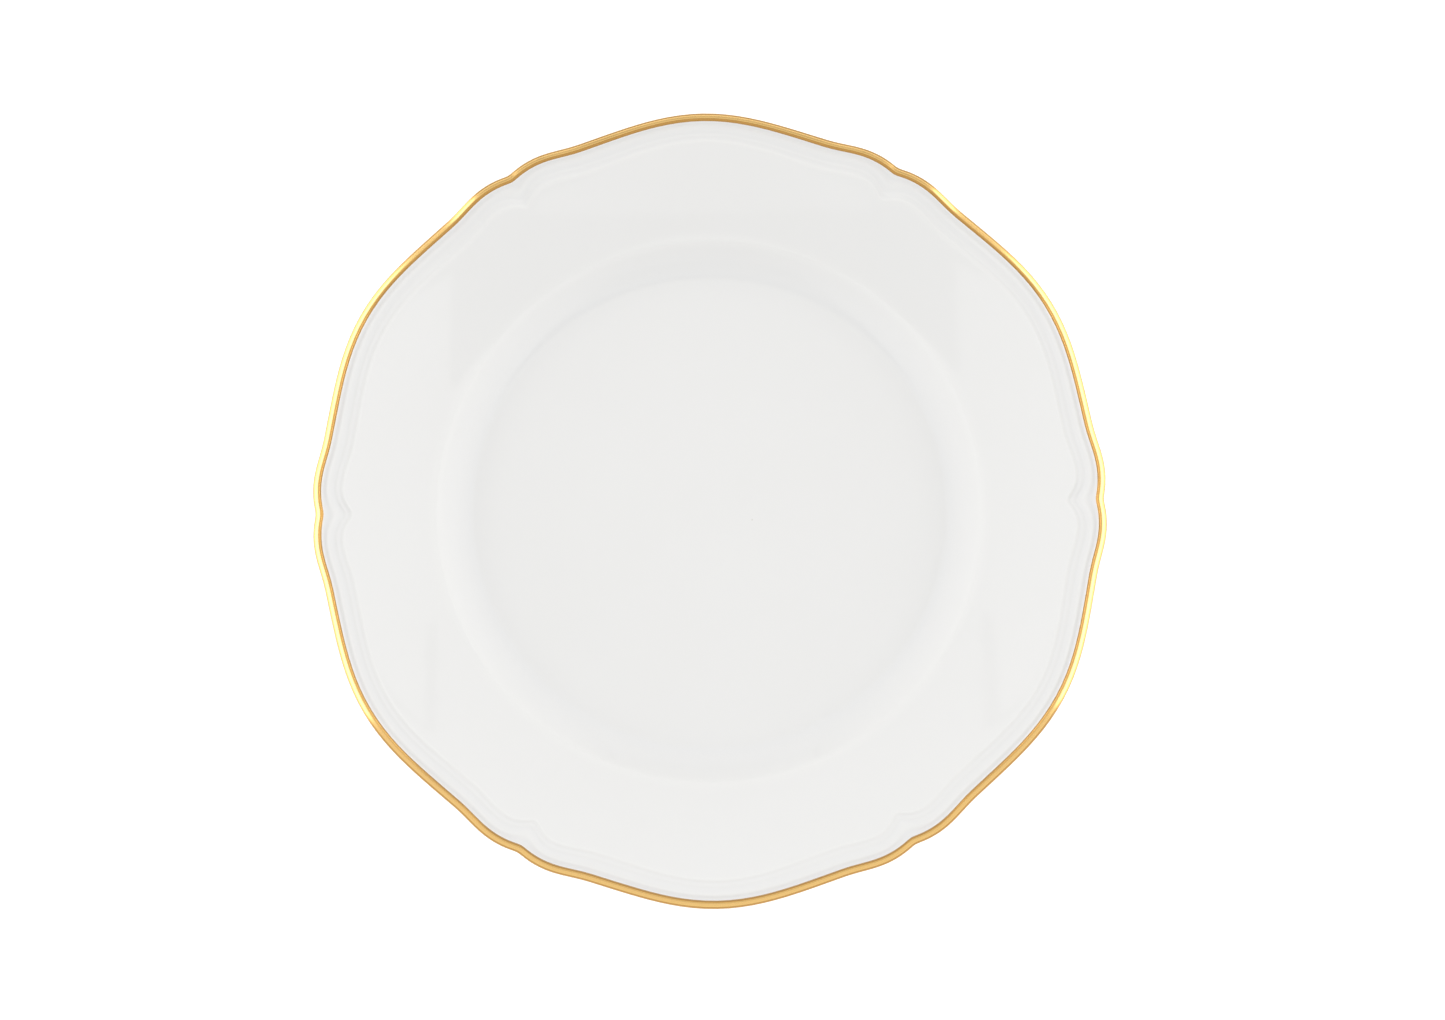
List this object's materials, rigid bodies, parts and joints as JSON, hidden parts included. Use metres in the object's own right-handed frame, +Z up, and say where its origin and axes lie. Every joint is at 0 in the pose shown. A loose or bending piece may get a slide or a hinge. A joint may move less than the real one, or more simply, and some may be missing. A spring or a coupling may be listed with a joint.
{
  "type": "dinner plate",
  "caption": "White porcelain dinner plate with a lobed moulded edge, a gilded lip, a coved well and a bare foot ring.",
  "frame": {"origin": "centre of the plane that the foot ring stands on", "axes": "+Z up through the middle of the face; +X towards one of the small points between two lobes; +Y towards the middle of a lobe"},
  "size_m": [0.262, 0.2652, 0.0208],
  "materials": {
    "biscuit": "unglazed fired porcelain, matte and slightly rough",
    "glaze": "smooth glossy white glaze over porcelain",
    "gilt": "bright fired gold, polished"
  },
  "bodies": {
    "root": {"porcelain_body": "biscuit", "glaze_coat": "glaze", "recess_glaze": "glaze", "gilt_edge": "gilt"}
  },
  "joints": []
}
